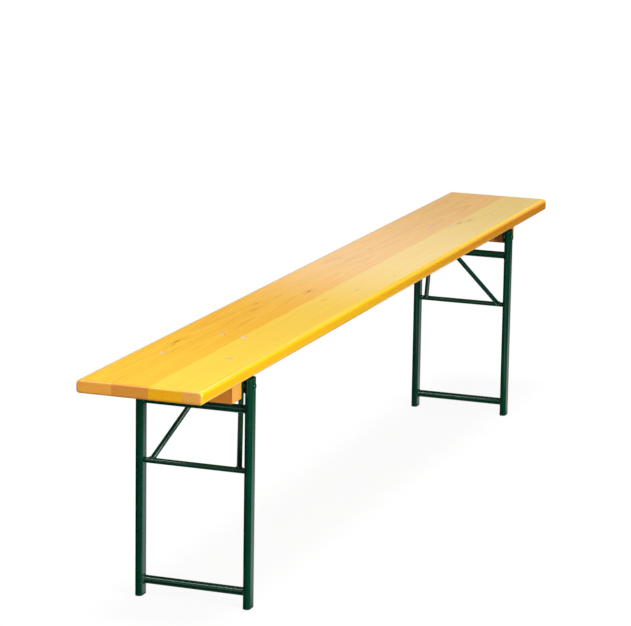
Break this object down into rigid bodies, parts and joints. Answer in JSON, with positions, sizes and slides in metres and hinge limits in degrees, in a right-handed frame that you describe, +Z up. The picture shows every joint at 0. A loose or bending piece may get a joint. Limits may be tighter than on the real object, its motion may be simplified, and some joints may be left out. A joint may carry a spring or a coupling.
{
  "type": "folding bench",
  "caption": "Long narrow folding bench: a glued wooden board on two hinged leg frames of green tube, each held open by a V-shaped strut that snaps into a catch.",
  "frame": {"origin": "on the floor, below the middle of the board", "axes": "+X along the bench, +Y across it, +Z up; the -X end is the left end and the -Y side the front"},
  "size_m": [2.2, 0.25, 0.485],
  "materials": {
    "varnished_board": "glossy clear varnish",
    "cleat_wood": "varnished",
    "green_paint": "gloss powder coat",
    "black_plastic": "matte",
    "spring_steel": "zinc plated",
    "zinc_steel": "zinc plated"
  },
  "bodies": {
    "seat": {"catch_bolts": "zinc_steel", "catch_left": "spring_steel", "catch_nuts": "zinc_steel", "catch_right": "spring_steel", "catch_washers": "zinc_steel", "cleat_left": "cleat_wood", "cleat_right": "cleat_wood", "cleat_screws": "zinc_steel", "hinge_bolts": "zinc_steel", "hinge_bracket_left": "green_paint", "hinge_bracket_right": "green_paint", "hinge_nuts": "zinc_steel", "hinge_washers": "zinc_steel", "pivot_rivets": "green_paint", "pivot_washers": "zinc_steel", "seat_stave_1": "varnished_board", "seat_stave_2": "varnished_board", "seat_stave_3": "varnished_board", "seat_stave_4": "varnished_board"},
    "leg_frame_left": {"bottom_bar_left": "green_paint", "foot_cap_left_back": "black_plastic", "foot_cap_left_front": "black_plastic", "leg_left_back": "green_paint", "leg_left_front": "green_paint", "top_bar_left": "green_paint"},
    "strut_left": {"strut_axle_left": "green_paint", "strut_rod_left": "green_paint"},
    "leg_frame_right": {"bottom_bar_right": "green_paint", "foot_cap_right_back": "black_plastic", "foot_cap_right_front": "black_plastic", "leg_right_back": "green_paint", "leg_right_front": "green_paint", "top_bar_right": "green_paint"},
    "strut_right": {"strut_axle_right": "green_paint", "strut_rod_right": "green_paint"}
  },
  "joints": [
    {"name": "fold_left", "type": "hinge", "parent": "seat", "child": "leg_frame_left", "pos_m": [-0.831, 0, 0.4365], "axis": [0, -1, 0], "range_deg": [0, 90]},
    {"name": "strut_fold_left", "type": "hinge", "parent": "leg_frame_left", "child": "strut_left", "pos_m": [-0.831, 0, 0.27], "axis": [0, 1, 0], "range_deg": [0, 128.7]},
    {"name": "fold_right", "type": "hinge", "parent": "seat", "child": "leg_frame_right", "pos_m": [0.831, 0, 0.4365], "axis": [0, 1, 0], "range_deg": [0, 90]},
    {"name": "strut_fold_right", "type": "hinge", "parent": "leg_frame_right", "child": "strut_right", "pos_m": [0.831, 0, 0.27], "axis": [0, -1, 0], "range_deg": [0, 128.7]}
  ],
  "couplings": [
    {"joint": "strut_fold_left", "follows": "fold_left", "ratio": 1.4295},
    {"joint": "strut_fold_right", "follows": "fold_right", "ratio": 1.4295}
  ]
}
